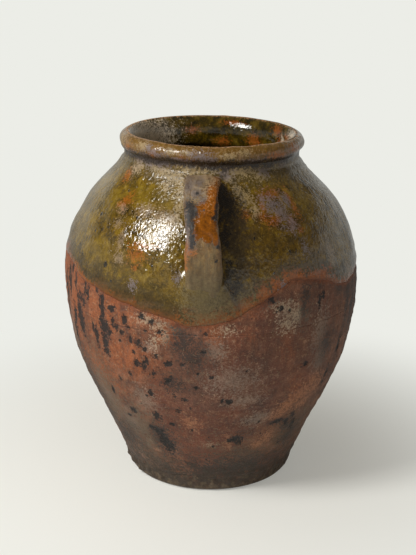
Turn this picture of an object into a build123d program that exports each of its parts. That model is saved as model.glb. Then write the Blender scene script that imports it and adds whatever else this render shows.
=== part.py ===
from build123d import *
from math import acos, atan2, cos, degrees, hypot, radians, sin, tan
import os

# Olive jar: a wheel-thrown earthenware storage jar, open at the mouth, with two strap handles.
# Origin: middle of the base. +Z is up along the turning axis. The handles stand on -Y and +Y.
# All lengths are in millimetres and all angles in degrees.

# Thrown body, outside
height = 344.0                # base to the glazed crest of the rim
belly_radius = 145.0          # widest, bare clay
belly_height = 200.0
foot_radius = 86.0            # where the lower cone meets the foot band
foot_height = 18.0
base_radius = 82.0
base_edge_round = 5.0
foot_waist_round = 22.0

# Fullness of the two arcs that leave the belly: each radius as a share of the radius of the one
# arc that would run on to the root of the neck, or to the top of the foot.
shoulder_fullness_share = 0.92
taper_fullness_share = 0.774

# Neck and rolled rim
neck_radius = 84.5
collar_height = 22.5          # crest of the rim down to the root of the neck
rim_radius = 89.2
neck_groove_round = 4.0
throat_radius = 76.5          # inside the glazed mouth
lip_round = 4.5               # inner quarter of the rim's crest

# Wall
wall = 8.5
floor_thickness = 13.0
floor_corner_round = 30.0
throat_corner_round = 8.0
seam_drop = 14.0              # below the belly, where the two thrown halves are luted together

# Glaze
glaze = 0.6
glaze_rise = 16.0             # belly up to the mean height of the glaze's lower edge
glaze_wave = 30.0             # lowest run to highest bay of that edge

# Strap handles
strap_width = 30.0
strap_thickness = 9.5
strap_stand_off = 4.0         # belly out to the farthest point of the centre line
strap_drop = 7.4              # root of the neck down to where the centre line leaves it
strap_foot_rise = 21.0        # belly's level up to where the outer face runs out
strap_bury = 9.0              # how far both ends run into the wall before they are trimmed

overrun = 20.0                # how far cutting shapes run past what they cut

# Centre line of a strap between its two ends: (share of the way from the neck's radius to
# strap_reach, share of the way from strap_foot_height to strap_top_height).
strap_line_shares = ((0.30, 1.00), (0.60, 0.93), (0.86, 0.745), (0.985, 0.50), (0.98, 0.22))

# Strap sections: (place along the centre line, width share, thickness share). The strap is a
# little wider at its upper root, and is thumbed out into a fan where it runs onto the belly.
strap_section_shares = (
    (0.00, 1.16, 1.10), (0.14, 1.08, 1.00), (0.28, 1.00, 0.94), (0.42, 0.98, 0.92), (0.56, 0.99, 0.94),
    (0.69, 1.02, 1.00), (0.80, 1.10, 1.12), (0.90, 1.30, 1.30), (1.00, 1.50, 1.45),
)

# Lower edge of the glaze seen from the front and from the back: (share of the glazed belly's
# radius across, share of glaze_wave above glaze_line). The two views meet at the sides.
front_edge_shares = (
    (-1.06, 0.30), (-1.00, 0.36), (-0.93, 0.40), (-0.83, 0.10), (-0.68, -0.03), (-0.45, -0.20),
    (-0.20, -0.33), (0.03, -0.47), (0.24, -0.17), (0.45, 0.30), (0.57, 0.50), (0.70, 0.42),
    (0.86, 0.00), (0.94, -0.10), (1.00, 0.02), (1.06, 0.10),
)
back_edge_shares = (
    (-1.06, 0.30), (-1.00, 0.36), (-0.88, 0.22), (-0.66, -0.12), (-0.40, 0.12), (-0.14, -0.40),
    (0.10, -0.46), (0.34, 0.02), (0.60, 0.26), (0.84, -0.08), (1.00, 0.02), (1.06, 0.10),
)
# The edge's runs are joined by arcs that take up this share of the shorter run on each side.
arc_share = 0.45

clay_height = height - glaze
clay_throat = throat_radius + glaze
crest_radius = clay_throat + lip_round
rim_crown = rim_radius - crest_radius
rim_centre = (crest_radius, clay_height - rim_crown)
lip_centre = (crest_radius, clay_height - lip_round)
neck_root = (neck_radius, clay_height - collar_height)
foot_top = (foot_radius, foot_height)
seam_height = belly_height - seam_drop
glaze_line = belly_height + glaze_rise
strap_reach = belly_radius + strap_stand_off
strap_top_height = neck_root[1] - strap_drop
strap_foot_height = belly_height + strap_foot_rise


def arc_from_belly(end):
    """Radius of the arc that leaves the belly upright and ends at `end`."""
    across = belly_radius - end[0]
    return (across**2 + (end[1] - belly_height) ** 2) / (2 * across)


def leaving_angle(centre, radius, point, turn):
    """Angle round `centre` at which a straight line to `point` leaves the circle, on side `turn`."""
    across = point[0] - centre[0]
    up = point[1] - centre[1]
    return degrees(atan2(up, across)) + turn * degrees(acos(radius / hypot(across, up)))


def polar(centre, radius, angle):
    """Point of the circle at `angle`."""
    return (centre[0] + radius * cos(radians(angle)), centre[1] + radius * sin(radians(angle)))


def level_point(start, angle, level):
    """Point at height `level` on the line through `start` that stands square to `angle`."""
    return (start[0] - (level - start[1]) * sin(radians(angle)) / cos(radians(angle)), level)


def radius_point(start, angle, radius):
    """Point `radius` from the axis on the line through `start` that stands square to `angle`."""
    return (radius, start[1] + (start[0] - radius) * cos(radians(angle)) / sin(radians(angle)))


upper_curve = shoulder_fullness_share * arc_from_belly(neck_root)
lower_curve = taper_fullness_share * arc_from_belly(foot_top)
upper_centre = (belly_radius - upper_curve, belly_height)
lower_centre = (belly_radius - lower_curve, belly_height)
shoulder_angle = leaving_angle(upper_centre, upper_curve, neck_root, -1)
taper_angle = leaving_angle(lower_centre, lower_curve, foot_top, 1)


def outside_line(proud):
    """Half outline `proud` outside the bare clay, from the base up to the crest of the rim."""
    taper_end = polar(lower_centre, lower_curve + proud, taper_angle)
    shoulder_end = polar(upper_centre, upper_curve + proud, shoulder_angle)
    waist = level_point(taper_end, taper_angle, foot_height)
    root = radius_point(shoulder_end, shoulder_angle, neck_radius + proud)
    rim_start = -degrees(acos((neck_radius + proud - crest_radius) / (rim_crown + proud)))
    with BuildLine() as line:
        Line((base_radius + proud, 0), waist)
        Line(waist, taper_end)
        CenterArc(lower_centre, lower_curve + proud, taper_angle, -taper_angle)
        CenterArc(upper_centre, upper_curve + proud, 0, shoulder_angle)
        Line(shoulder_end, root)
        neck = Line(root, polar(rim_centre, rim_crown + proud, rim_start))
        CenterArc(rim_centre, rim_crown + proud, rim_start, 90 - rim_start)
        fillet(line.vertices().sort_by_distance(Vector(*waist))[0], foot_waist_round - proud)
        fillet(line.vertices().sort_by_distance(neck @ 0)[0], neck_groove_round - proud)
        fillet(line.vertices().sort_by_distance(neck @ 1)[0], neck_groove_round - proud)
    return line.line


def hollow_line(proud):
    """Half outline `proud` inside the bare hollow, from the crest down to the middle of the floor."""
    depth = wall + proud
    taper_end = polar(lower_centre, lower_curve - depth, taper_angle)
    shoulder_end = polar(upper_centre, upper_curve - depth, shoulder_angle)
    floor_edge = level_point(taper_end, taper_angle, floor_thickness + proud)
    throat_foot = radius_point(shoulder_end, shoulder_angle, clay_throat - proud)
    with BuildLine() as line:
        CenterArc(lip_centre, lip_round + proud, 90, 90)
        Line((clay_throat - proud, lip_centre[1]), throat_foot)
        Line(throat_foot, shoulder_end)
        CenterArc(upper_centre, upper_curve - depth, 0, shoulder_angle)
        CenterArc(lower_centre, lower_curve - depth, taper_angle, -taper_angle)
        Line(taper_end, floor_edge)
        Line(floor_edge, (0, floor_thickness + proud))
        fillet(line.vertices().sort_by_distance(Vector(*throat_foot))[0], throat_corner_round + proud)
        fillet(line.vertices().sort_by_distance(Vector(*floor_edge))[0], floor_corner_round - proud)
    return line.line


# Fired clay of the whole pot, and the same shape without its hollow
with BuildPart() as pot:
    with BuildSketch(Plane.XZ):
        with BuildLine():
            add(outside_line(0))
            add(hollow_line(0))
            Polyline((0, floor_thickness), (0, 0), (base_radius, 0))
        make_face()
    revolve(axis=Axis.Z)
    fillet(pot.faces().sort_by(Axis.Z)[0].edges(), base_edge_round)

with BuildPart() as filled_pot:
    with BuildSketch(Plane.XZ):
        with BuildLine():
            add(outside_line(0))
            Polyline((crest_radius, clay_height), (0, clay_height), (0, 0), (base_radius, 0))
        make_face()
    revolve(axis=Axis.Z)

with BuildPart() as lower_body:
    add(pot.part)
    split(bisect_by=Plane.XY.offset(seam_height), keep=Keep.BOTTOM)
lower_body.part.label = "lower_body"

with BuildPart() as upper_body:
    add(pot.part)
    split(bisect_by=Plane.XY.offset(seam_height), keep=Keep.TOP)
upper_body.part.label = "upper_body"

# Centre line of the front strap, from inside the neck to inside the belly
strap_span = strap_reach - neck_radius
strap_rise = strap_top_height - strap_foot_height
strap_points = [(neck_radius - strap_bury, strap_top_height)]
for out_share, up_share in strap_line_shares:
    strap_points.append((neck_radius + out_share * strap_span, strap_foot_height + up_share * strap_rise))
strap_points.append((belly_radius - strap_bury, strap_foot_height - strap_bury))
with BuildLine() as strap_line:
    Spline([(0, -out, up) for out, up in strap_points], tangents=[(0, -1, 0), (0, 1, -1)])

# Strap blank at the front, lofted through rounded sections that stand square to its centre line
with BuildPart() as strap_blank:
    centre_line = strap_line.edge()
    for place, width_share, thickness_share in strap_section_shares:
        with BuildSketch(Plane(centre_line @ place, x_dir=(1, 0, 0), z_dir=centre_line % place)):
            SlotOverall(width_share * strap_width, thickness_share * strap_thickness)
    loft()

# Each strap is luted onto the bare clay and takes its shape where it meets it
with BuildPart() as front_handle:
    add(strap_blank.part)
    add(filled_pot.part, mode=Mode.SUBTRACT)
front_handle.part.label = "front_handle"

with BuildPart() as rear_handle:
    add(front_handle.part, rotation=(0, 0, 180))
rear_handle.part.label = "rear_handle"


def corner_radius(before, corner, after):
    """Radius of the largest arc that rounds `corner` and leaves a tenth of its shorter run straight."""
    run_in = Vector(*corner) - Vector(*before)
    run_out = Vector(*after) - Vector(*corner)
    half_turn = run_in.get_angle(run_out) / 2
    return arc_share * min(run_in.length, run_out.length) / tan(radians(half_turn))


def glazed_view(edge_shares):
    """Outline of the glazed part in one view: its wavy lower edge, carried up over the rim."""
    points = [(across * (belly_radius + glaze), glaze_line + up * glaze_wave) for across, up in edge_shares]
    radii = [corner_radius(*corner) for corner in zip(points, points[1:], points[2:])]
    top = height + overrun
    with BuildSketch(Plane.XZ) as view:
        with BuildLine():
            FilletPolyline(*points, radius=radii)
            Polyline(points[-1], (points[-1][0], top), (points[0][0], top), points[0])
        make_face()
    return view.sketch


# Space above the glaze's lower edge: one outline carried forwards, the other backwards
with BuildPart() as glazed_space:
    extrude(glazed_view(front_edge_shares), amount=strap_reach + overrun)
    extrude(glazed_view(back_edge_shares), amount=-strap_reach - overrun)

# Coat on the shoulder, neck and rim, open where the handles are luted on
with BuildPart() as outer_glaze:
    with BuildSketch(Plane.XZ):
        with BuildLine():
            add(outside_line(0))
            add(outside_line(glaze))
            Line((base_radius, 0), (base_radius + glaze, 0))
            Line((crest_radius, clay_height), (crest_radius, height))
        make_face()
    revolve(axis=Axis.Z)
    add(glazed_space.part, mode=Mode.INTERSECT)
    add(strap_blank.part, mode=Mode.SUBTRACT)
    add(strap_blank.part, rotation=(0, 0, 180), mode=Mode.SUBTRACT)
outer_glaze.part.label = "outer_glaze"

# Lining of the whole inside, from the crest to the floor
with BuildPart() as inner_glaze:
    with BuildSketch(Plane.XZ):
        with BuildLine():
            add(hollow_line(0))
            add(hollow_line(glaze))
            Line((crest_radius, clay_height), (crest_radius, height))
            Line((0, floor_thickness), (0, floor_thickness + glaze))
        make_face()
    revolve(axis=Axis.Z)
inner_glaze.part.label = "inner_glaze"

os.makedirs("parts", exist_ok=True)
for piece in (lower_body, upper_body, front_handle, rear_handle, outer_glaze, inner_glaze):
    export_step(piece.part, f"parts/{piece.part.label}.step")
    print(piece.part.label, len(piece.part.solids()), round(piece.part.volume), piece.part.is_valid)
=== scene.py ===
"""Olive jar: the looks of a wheel-thrown, half-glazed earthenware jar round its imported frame.

Every piece is a surface of two parameters, worked out with numpy in millimetres and written to the
mesh in metres. Azimuths are degrees round the jar from -Y (the front handle) towards +X.
"""

from types import SimpleNamespace

import bpy
import numpy as np
from bpy.props import FloatProperty, FloatVectorProperty, PointerProperty
from mathutils import Matrix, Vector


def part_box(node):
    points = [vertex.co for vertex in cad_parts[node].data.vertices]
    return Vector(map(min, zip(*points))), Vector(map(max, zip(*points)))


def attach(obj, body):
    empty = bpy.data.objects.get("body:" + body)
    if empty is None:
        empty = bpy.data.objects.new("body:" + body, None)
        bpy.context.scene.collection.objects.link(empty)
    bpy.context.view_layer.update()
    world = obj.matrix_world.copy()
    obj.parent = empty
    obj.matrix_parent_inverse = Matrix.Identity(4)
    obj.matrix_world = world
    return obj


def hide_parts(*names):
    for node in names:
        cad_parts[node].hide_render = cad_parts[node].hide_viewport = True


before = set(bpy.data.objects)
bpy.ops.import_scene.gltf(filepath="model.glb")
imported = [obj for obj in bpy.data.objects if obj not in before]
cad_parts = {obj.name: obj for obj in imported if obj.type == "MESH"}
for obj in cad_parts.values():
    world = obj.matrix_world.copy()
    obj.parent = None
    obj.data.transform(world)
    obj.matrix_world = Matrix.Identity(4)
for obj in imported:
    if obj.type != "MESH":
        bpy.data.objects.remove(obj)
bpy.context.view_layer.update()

bl_info = {
    "name": "Olive jar",
    "version": (1, 0, 0),
    "blender": (4, 5, 0),
    "location": "3D View > Sidebar > Olive jar",
    "description": "Builds a glazed earthenware olive jar round its packed frame",
    "category": "Object",
}

MM = 0.001
COLUMNS = 640            # round the pot's outside
LINING_COLUMNS = 480

# Levels read from the frame, in millimetres
CREST_Z = float(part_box("outer_glaze")[1][2] / MM)
CLAY_CREST_Z = float(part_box("upper_body")[1][2] / MM)
SEAM_Z = float(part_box("lower_body")[1][2] / MM)
BELLY_R = float(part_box("upper_body")[1][0] / MM)

# Levels of the hand-thrown surface
BARE_TOP_Z = 242.0       # above this the clay is hidden by the glaze all round
STRAP_FOOT_Z = 244.0     # below this a strap lies on the wall
STRAP_END_Z = 202.0      # where its foot runs out
BASE_CORNER = 6.0        # from the end of the flat base out to the wall
NECK_Z = 319.0           # dull band round the neck
RIM_SHADE_Z = 328.5         # painted shade, with some dirt, in the groove under the rim
LIP_FALL = 12.0          # height of the quarter ellipse by which the lip falls inwards
FAR = -3.0               # value of a mark's field far from the mark
HIDDEN = 60.0            # distance to the glaze's edge that hidden rows are given


def sized(name, about, value):
    """A length property in metres whose default is given in millimetres."""
    return FloatProperty(name=name, description=about, default=value * MM, min=0.0, max=1.0, unit="LENGTH",
                         precision=4)


def tinted(name, about, code):
    """A colour property whose default is an sRGB hex value."""
    return FloatVectorProperty(name=name, description=about, default=linear(code), subtype="COLOR", size=4,
                               min=0.0, max=1.0)


def linear(code):
    """Scene-linear RGBA of an sRGB hex value such as '6F6228'."""
    channels = [int(code[i:i + 2], 16) / 255 for i in (0, 2, 4)]
    curve = [c / 12.92 if c <= 0.04045 else ((c + 0.055) / 1.055) ** 2.4 for c in channels]
    return (*curve, 1.0)


class JarSizes(bpy.types.PropertyGroup):
    """Sizes of the thrown pot that its pieces share."""

    belly_radius: sized("Belly radius", "Widest radius of the bare clay", BELLY_R)
    belly_height: sized("Belly height", "Height of the widest level", 200.0)
    upper_curve: sized("Upper curve", "Radius of the arc from the belly to the shoulder", 139.0)
    lower_curve: sized("Lower curve", "Radius of the arc from the belly down", 240.0)
    foot_radius: sized("Foot radius", "Radius where the lower cone meets the foot band", 86.0)
    foot_height: sized("Foot height", "Height of the foot band", 18.0)
    base_radius: sized("Base radius", "Radius of the flat base", 82.0)
    neck_radius: sized("Neck radius", "Radius of the groove under the rim", 84.5)
    collar_height: sized("Collar height", "Crest of the rim down to the root of the neck", 22.5)
    rim_radius: sized("Rim radius", "Widest radius of the rolled rim", 89.2)
    throat_radius: sized("Throat radius", "Inner radius of the glazed mouth", 76.5)
    lip_round: sized("Lip round", "Radius of the rim's inner edge", 4.5)
    wall: sized("Wall", "Thickness of the clay wall", 8.5)
    floor_thickness: sized("Floor thickness", "Thickness of the clay floor", 13.0)
    glaze: sized("Glaze", "Thickness of the coats of glaze", 0.6)


class StrapSizes(bpy.types.PropertyGroup):
    """Sizes of the two pulled strap handles."""

    width: sized("Width", "Width of the strap at its middle", 30.0)
    thickness: sized("Thickness", "Thickness of the strap at its middle", 9.5)
    reach: sized("Reach", "Axis of the jar to the farthest point of the centre line", 149.0)
    top_height: sized("Top height", "Centre line where it leaves the neck", 313.5)
    foot_height: sized("Foot height", "Where the outer face runs out on the belly", 221.0)


class Finishes(bpy.types.PropertyGroup):
    """Main colours of the clay and of the glaze."""

    clay_red: tinted("Clay, red", "Fired red earthenware", "9C552B")
    clay_brown: tinted("Clay, brown", "Reduced, browner clay", "74472F")
    soot: tinted("Soot", "Smoke and hearth stains on the clay", "2E2724")
    olive: tinted("Glaze, olive", "Lead glaze over red clay, thick", "624A0B")
    amber: tinted("Glaze, amber", "Lead glaze over red clay, thin", "86470A")


class StageLook(bpy.types.PropertyGroup):
    """Floor and background."""

    floor: tinted("Floor", "Plain pale floor", "F7F8F5")
    backdrop: tinted("Backdrop", "Background seen by the camera", "ECEDE7")


def emptied(owner):
    """The node tree of a new material or world, with nothing in it."""
    owner.use_nodes = True
    owner.node_tree.nodes.clear()
    return owner.node_tree


def add_node(tree, kind, inputs=None, **settings):
    """Adds one node. Settings are its attributes; each of its inputs is given a plain value, or what feeds
    it: a socket, or a node whose first output is meant."""
    node = tree.nodes.new(kind)
    for name, value in settings.items():
        setattr(node, name, value)
    for name, source in (inputs or {}).items():
        if isinstance(source, (bpy.types.Node, bpy.types.NodeSocket)):
            tree.links.new(getattr(source, "outputs", [source])[0], node.inputs[name])
        else:
            node.inputs[name].default_value = source
    return node


def ends(*values):
    """The four ends of a Map Range node: two values of its input, and what they become."""
    return dict(zip(("From Min", "From Max", "To Min", "To Max"), values))


# Grids and meshes

def grid_mesh(name, points, fields, poles=False):
    """Closed shell from a grid of points: rows run along the outline, columns wrap round.

    With `poles` the first and last rows shrink to a point each; without them the last row joins the
    first. Rows that climb on the outside with columns that run from -Y towards +X face outwards. Rows
    past the end of a field are hidden ones, and get its blank value.
    """
    rows, columns = points.shape[:2]
    index = np.arange(rows * columns).reshape(rows, columns)
    lower = index[:-1] if poles else index
    upper = index[1:] if poles else np.roll(index, -1, axis=0)
    quads = np.stack([lower, np.roll(lower, -1, axis=1), np.roll(upper, -1, axis=1), upper], axis=-1)
    vertices, corners, totals = points.reshape(-1, 3), [quads.ravel()], [np.full(lower.size, 4)]
    if poles:
        first, last, pole = index[0], index[-1], np.full(columns, rows * columns)
        vertices = np.vstack([vertices, points[0].mean(axis=0), points[-1].mean(axis=0)])
        corners.append(np.stack([pole, np.roll(first, -1), first], axis=-1).ravel())
        corners.append(np.stack([last, np.roll(last, -1), pole + 1], axis=-1).ravel())
        totals.append(np.full(2 * columns, 3))
    corners, totals = np.concatenate(corners), np.concatenate(totals)
    mesh = bpy.data.meshes.new(name)
    mesh.vertices.add(len(vertices))
    mesh.vertices.foreach_set("co", (vertices * MM).astype(np.float32).ravel())
    mesh.loops.add(len(corners))
    mesh.loops.foreach_set("vertex_index", corners.astype(np.int32))
    mesh.polygons.add(len(totals))
    mesh.polygons.foreach_set("loop_start", np.append(0, np.cumsum(totals)[:-1]).astype(np.int32))
    mesh.polygons.foreach_set("loop_total", totals.astype(np.int32))
    mesh.polygons.foreach_set("use_smooth", np.ones(len(totals), bool))
    mesh.update(calc_edges=True)
    mesh.validate()
    for label, field in fields.items():
        blank = HIDDEN if label in ("above", "below") else FAR
        values = np.append(field.ravel(), np.full(len(vertices) - field.size, blank))
        mesh.attributes.new(label, "FLOAT", "POINT").data.foreach_set("value", values.astype(np.float32))
    return mesh


def add_piece(mesh, material, node):
    """Puts a finished mesh on the jar's body in place of its CAD node."""
    piece = bpy.data.objects.new(mesh.name, mesh)
    bpy.context.scene.collection.objects.link(piece)
    mesh.materials.append(material)
    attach(piece, "root")
    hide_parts(node)


def ripple(points, size, seed, waves=28):
    """Smooth seamless noise of about unit spread: a sum of plane cosine waves in random directions,
    each about `size` millimetres long."""
    draw = np.random.default_rng(seed)
    heading = draw.normal(size=(waves, 3))
    heading /= np.linalg.norm(heading, axis=1, keepdims=True)
    length = size * draw.uniform(0.7, 1.5, waves)
    phase = draw.uniform(0, 2 * np.pi, waves)
    flat = points.reshape(-1, 3)
    total = np.zeros(len(flat))
    for k in range(waves):
        total += np.cos(flat @ (heading[k] * 2 * np.pi / length[k]) + phase[k])
    return (total * np.sqrt(2 / waves)).reshape(points.shape[:-1])


def step(low, high, values):
    """Smooth step from 0 below `low` to 1 above `high`."""
    t = np.clip((values - low) / (high - low), 0, 1)
    return t * t * (3 - 2 * t)


def bump_of(values, centre, spread):
    """Bell curve: 1 at the centre, falling off over `spread`."""
    return np.exp(-((values - centre) / spread) ** 2)


def turn_gap(azimuth, centre):
    """Signed angle in degrees from `centre` to each azimuth, between -180 and 180."""
    return (azimuth - centre + 180) % 360 - 180


# The thrown outline

def arc(centre, radius, start, end, count):
    """Points of a circle from angle `start` to `end`, in degrees."""
    turn = np.radians(np.linspace(start, end, count))
    return np.column_stack([centre[0] + radius * np.cos(turn), centre[1] + radius * np.sin(turn)])


def run(start, end, count=60):
    """Points of the straight run between two points."""
    share = np.linspace(0, 1, count)[:, None]
    return np.array(start) * (1 - share) + np.array(end) * share


def leaving_angle(centre, radius, point, side):
    """Angle round `centre` at which the tangent to `point` leaves the circle."""
    across, up = point[0] - centre[0], point[1] - centre[1]
    return np.degrees(np.arctan2(up, across) + side * np.arccos(radius / np.hypot(across, up)))


class Outline:
    """Half outline of the turned pot as dense points, with places measured along it in millimetres."""

    def __init__(self, points, softness, pitch=0.25):
        """Resamples `points` evenly and rounds their corners over about `softness` millimetres."""
        points = points[np.append(True, np.hypot(*np.diff(points, axis=0).T) > 1e-6)]
        place = np.append(0, np.cumsum(np.hypot(*np.diff(points, axis=0).T)))
        even = np.arange(0, place[-1], pitch)
        line = np.column_stack([np.interp(even, place, points[:, i]) for i in (0, 1)])
        half = int(3 * softness / pitch)
        kernel = np.exp(-0.5 * (np.arange(-half, half + 1) * pitch / softness) ** 2)
        kernel /= kernel.sum()
        padded = np.vstack([2 * line[0] - line[half:0:-1], line, 2 * line[-1] - line[-2:-half - 2:-1]])
        self.line = np.column_stack([np.convolve(padded[:, i], kernel, mode="valid") for i in (0, 1)])
        self.place = np.append(0, np.cumsum(np.hypot(*np.diff(self.line, axis=0).T)))
        heading = np.gradient(self.line, axis=0)
        heading /= np.linalg.norm(heading, axis=1, keepdims=True)
        self.normal = np.column_stack([heading[:, 1], -heading[:, 0]])
        self.length = float(self.place[-1])

    def at(self, place):
        """Radius, height and outward normal (radial, upward) at places along the outline."""
        return tuple(np.interp(place, self.place, column) for column in (*self.line.T, *self.normal.T))

    def place_of_height(self, height, after=0.0):
        """First place after `after` where the outline has climbed to `height`."""
        rows = self.place >= after
        climbing = np.maximum.accumulate(self.line[rows, 1])
        return np.interp(height, climbing + np.arange(len(climbing)) * 1e-9, self.place[rows])


def millimetres(group):
    """The values of a group of lengths, in millimetres."""
    return SimpleNamespace(**{key: getattr(group, key) / MM for key in group.__annotations__})


def turned_arcs(sizes):
    """The two arcs that meet at the belly: their centres, the angles at which they are left, the root of
    the neck above and the waist over the foot band below, where their tangents end."""
    root = (sizes.neck_radius, CLAY_CREST_Z - sizes.collar_height)
    waist = (sizes.foot_radius, sizes.foot_height)
    upper = (sizes.belly_radius - sizes.upper_curve, sizes.belly_height)
    lower = (sizes.belly_radius - sizes.lower_curve, sizes.belly_height)
    shoulder = leaving_angle(upper, sizes.upper_curve, root, -1)
    taper = leaving_angle(lower, sizes.lower_curve, waist, 1)
    return upper, lower, shoulder, taper, root, waist


def outside(sizes, base_edge=5.0, softness=1.6):
    """Bare clay outline from the middle of the base, out and up to the crest of the rim."""
    upper, lower, shoulder, taper, root, waist = turned_arcs(sizes)
    crest = sizes.throat_radius + sizes.glaze + sizes.lip_round
    crown = sizes.rim_radius - crest
    rim = (crest, CLAY_CREST_Z - crown)
    rim_start = -np.degrees(np.arccos((sizes.neck_radius - crest) / crown))
    base = sizes.base_radius - base_edge
    points = np.vstack([
        run((0, 0), (base, 0)),
        arc((base, base_edge), base_edge, -90, 5, 16),
        run((sizes.base_radius + 0.4, base_edge), waist),
        arc(lower, sizes.lower_curve, taper, 0, 200),
        arc(upper, sizes.upper_curve, 0, shoulder, 200),
        run(root, (sizes.neck_radius, rim[1] + crown * np.sin(np.radians(rim_start)))),
        arc(rim, crown, rim_start, 90, 60),
    ])
    return Outline(points, softness)


def hollow(sizes, inside, softness=2.0):
    """Glazed inner outline from the crest down the wall to the middle of the floor; `inside` is how far
    it stands inside the clay wall's own inner face. The lip falls in as a quarter ellipse."""
    upper, lower, shoulder, taper, _, _ = turned_arcs(sizes)
    depth = sizes.wall + inside
    throat = sizes.throat_radius + sizes.glaze - inside
    lip = (sizes.throat_radius + sizes.glaze + sizes.lip_round, CLAY_CREST_Z - LIP_FALL)
    floor = sizes.floor_thickness + inside
    upper_end = arc(upper, sizes.upper_curve - depth, shoulder, shoulder, 1)[0]
    lower_end = arc(lower, sizes.lower_curve - depth, taper, taper, 1)[0]
    throat_foot = (throat, upper_end[1] + (upper_end[0] - throat) / np.tan(np.radians(shoulder)))
    floor_edge = (lower_end[0] + (lower_end[1] - floor) * np.tan(np.radians(taper)), floor)
    points = np.vstack([
        arc((0, 0), 1, 90, 180, 40) * (sizes.lip_round + inside, LIP_FALL + inside) + lip,
        run((throat, lip[1]), throat_foot),
        arc(upper, sizes.upper_curve - depth, shoulder, 0, 200),
        arc(lower, sizes.lower_curve - depth, 0, taper, 200),
        run(lower_end, floor_edge),
        run(floor_edge, (0, floor)),
    ])
    return Outline(points, softness)


# Shape of the hand-thrown surface

# The glaze's lower edge: (azimuth, height)
EDGE_POINTS = (
    (-180, 206.5), (-168, 208.5), (-158, 214.0), (-140, 219.5), (-120, 215.5), (-100, 220.5), (-82, 227.0),
    (-66, 228.8), (-55, 219.5), (-47, 216.0), (-38, 214.0), (-30, 209.6), (-22, 205.8), (-16, 203.0),
    (-11, 200.4), (-6, 195.4), (-1, 194.6), (5, 197.0), (10.5, 200.8), (14.5, 205.0), (20, 212.0),
    (25.5, 219.5), (30, 226.5), (34.5, 230.8), (39, 231.0), (45.5, 228.4), (54, 222.0), (61, 215.0),
    (67, 212.6), (76, 216.5), (90, 218.0), (105, 224.0), (122, 219.0), (140, 216.5), (156, 212.5),
    (168, 207.0),
)
# How far a strap's outer face stands proud of the wall at its foot: (height, millimetres)
STRAP_FACE = (
    (202, -3.2), (207, -1.4), (211, 0.3), (215, 2.2), (220, 4.8), (226, 8.0), (232, 10.9), (238, 13.0),
    (244, 14.4),
)


def edge_height(azimuth):
    """Height of the glaze's lower edge: straight runs between the points, rounded by a moving mean, with
    two small ripples."""
    grid = np.arange(-180, 180, 0.5)
    angles, heights = np.array(EDGE_POINTS + ((180.0, EDGE_POINTS[0][1]),)).T
    line = np.interp(grid, angles, heights)
    for _ in range(2):
        line = sum(np.roll(line, k) for k in range(-4, 5)) / 9
    line = line + 0.5 * np.sin(np.radians(grid * 23)) + 0.35 * np.sin(np.radians(grid * 41 + 70))
    return np.interp(turn_gap(azimuth, 0), np.append(grid, 180.0), np.append(line, line[0]))


def warp(points):
    """Slight tilt of the rim and drift of the wall off a true circle, growing with height: the radius
    swells with the sine of twice and three times the angle round, the rim drops with its sine."""
    x, y, z = points[..., 0], points[..., 1], points[..., 2]
    rise = step(250, CREST_Z, z)
    around = np.arctan2(x, -y)
    swell = 0.8 * np.sin(2 * around + 0.6) + 0.5 * np.sin(3 * around + 2.1)
    swell *= step(10, 120, z) * (1 - 0.6 * rise)
    stretch = 1 + swell / np.maximum(np.hypot(x, y), 1e-6)
    return np.stack([x * stretch, y * stretch, z - 1.3 * rise * np.sin(around - np.radians(4.5))], axis=-1)


def surface_points(radius, height, azimuth):
    """Points at a radius and height round the jar: (r sin a, -r cos a, h)."""
    turn = np.radians(azimuth)
    return np.stack([radius * np.sin(turn), -radius * np.cos(turn), height + 0 * turn], axis=-1)


def shape_on(outline, place, azimuth, proud):
    """Points that stand `proud` millimetres off an outline along its normal, at places along it, turned
    to each azimuth and warped."""
    radius, height, normal_r, normal_z = outline.at(place)
    return warp(surface_points(radius + proud * normal_r, height + proud * normal_z, azimuth))


def clay_relief(radius, height, azimuth, grain=1.0):
    """How far the outer clay stands proud of its outline: throwing rings as a sine of the height, soft
    dents, the turned ring at the neck's root, the groove low on the wall, the shoulder's fuller left side
    and the ragged top of the foot band."""
    points = surface_points(radius, height, azimuth)
    soft = 0.45 * ripple(points, 90, 11) + 0.2 * ripple(points, 30, 12)
    rings = 0.2 * np.sin(2 * np.pi * height / 11.5 + 0.8 * ripple(points, 160, 13))
    rings *= (0.6 + 0.4 * ripple(points, 60, 14)) * (1 - 0.6 * step(222, 240, height))
    fine = grain * (0.09 * ripple(points, 7, 15) + 0.08 * ripple(points, 14, 19))
    groove_z = 104 + 1.2 * np.sin(np.radians(azimuth) * 3)
    groove = -0.7 * bump_of(height, groove_z, 1.3) * step(38, 26, np.abs(turn_gap(azimuth, 14)))
    neck_ring = 0.35 * bump_of(height, 316.5, 1.8) - 1.3 * bump_of(height, 306, 12)
    ledge_z = 19 + 1.6 * ripple(points, 45, 16)
    ledge = 1.2 * step(ledge_z - 2.5, ledge_z, height) * step(ledge_z + 3.5, ledge_z + 1.0, height)
    ledge *= step(-0.6, 0.8, ripple(points, 50, 17))
    ragged = (0.5 + 0.7 * bump_of(turn_gap(azimuth, -74), 0, 28)) * ripple(points, 9, 18)
    ragged *= step(26, 8, height) * step(1.5, 8, height)
    notch = -1.1 * bump_of(height, 152, 7) * bump_of(turn_gap(azimuth, -84), 0, 12)
    full = 2.0 * bump_of(height, 226, 26) + 1.6 * bump_of(height, 118, 34)
    full = full * bump_of(turn_gap(azimuth, -86), 0, 26)
    broad = soft + rings + fine + groove + neck_ring + ledge + notch + full
    return broad * step(0.0, 6.0, height) + ragged


def face_height(height):
    """How far the strap's outer face stands proud of the wall near its foot."""
    return np.interp(height, *np.array(STRAP_FACE).T)


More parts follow.
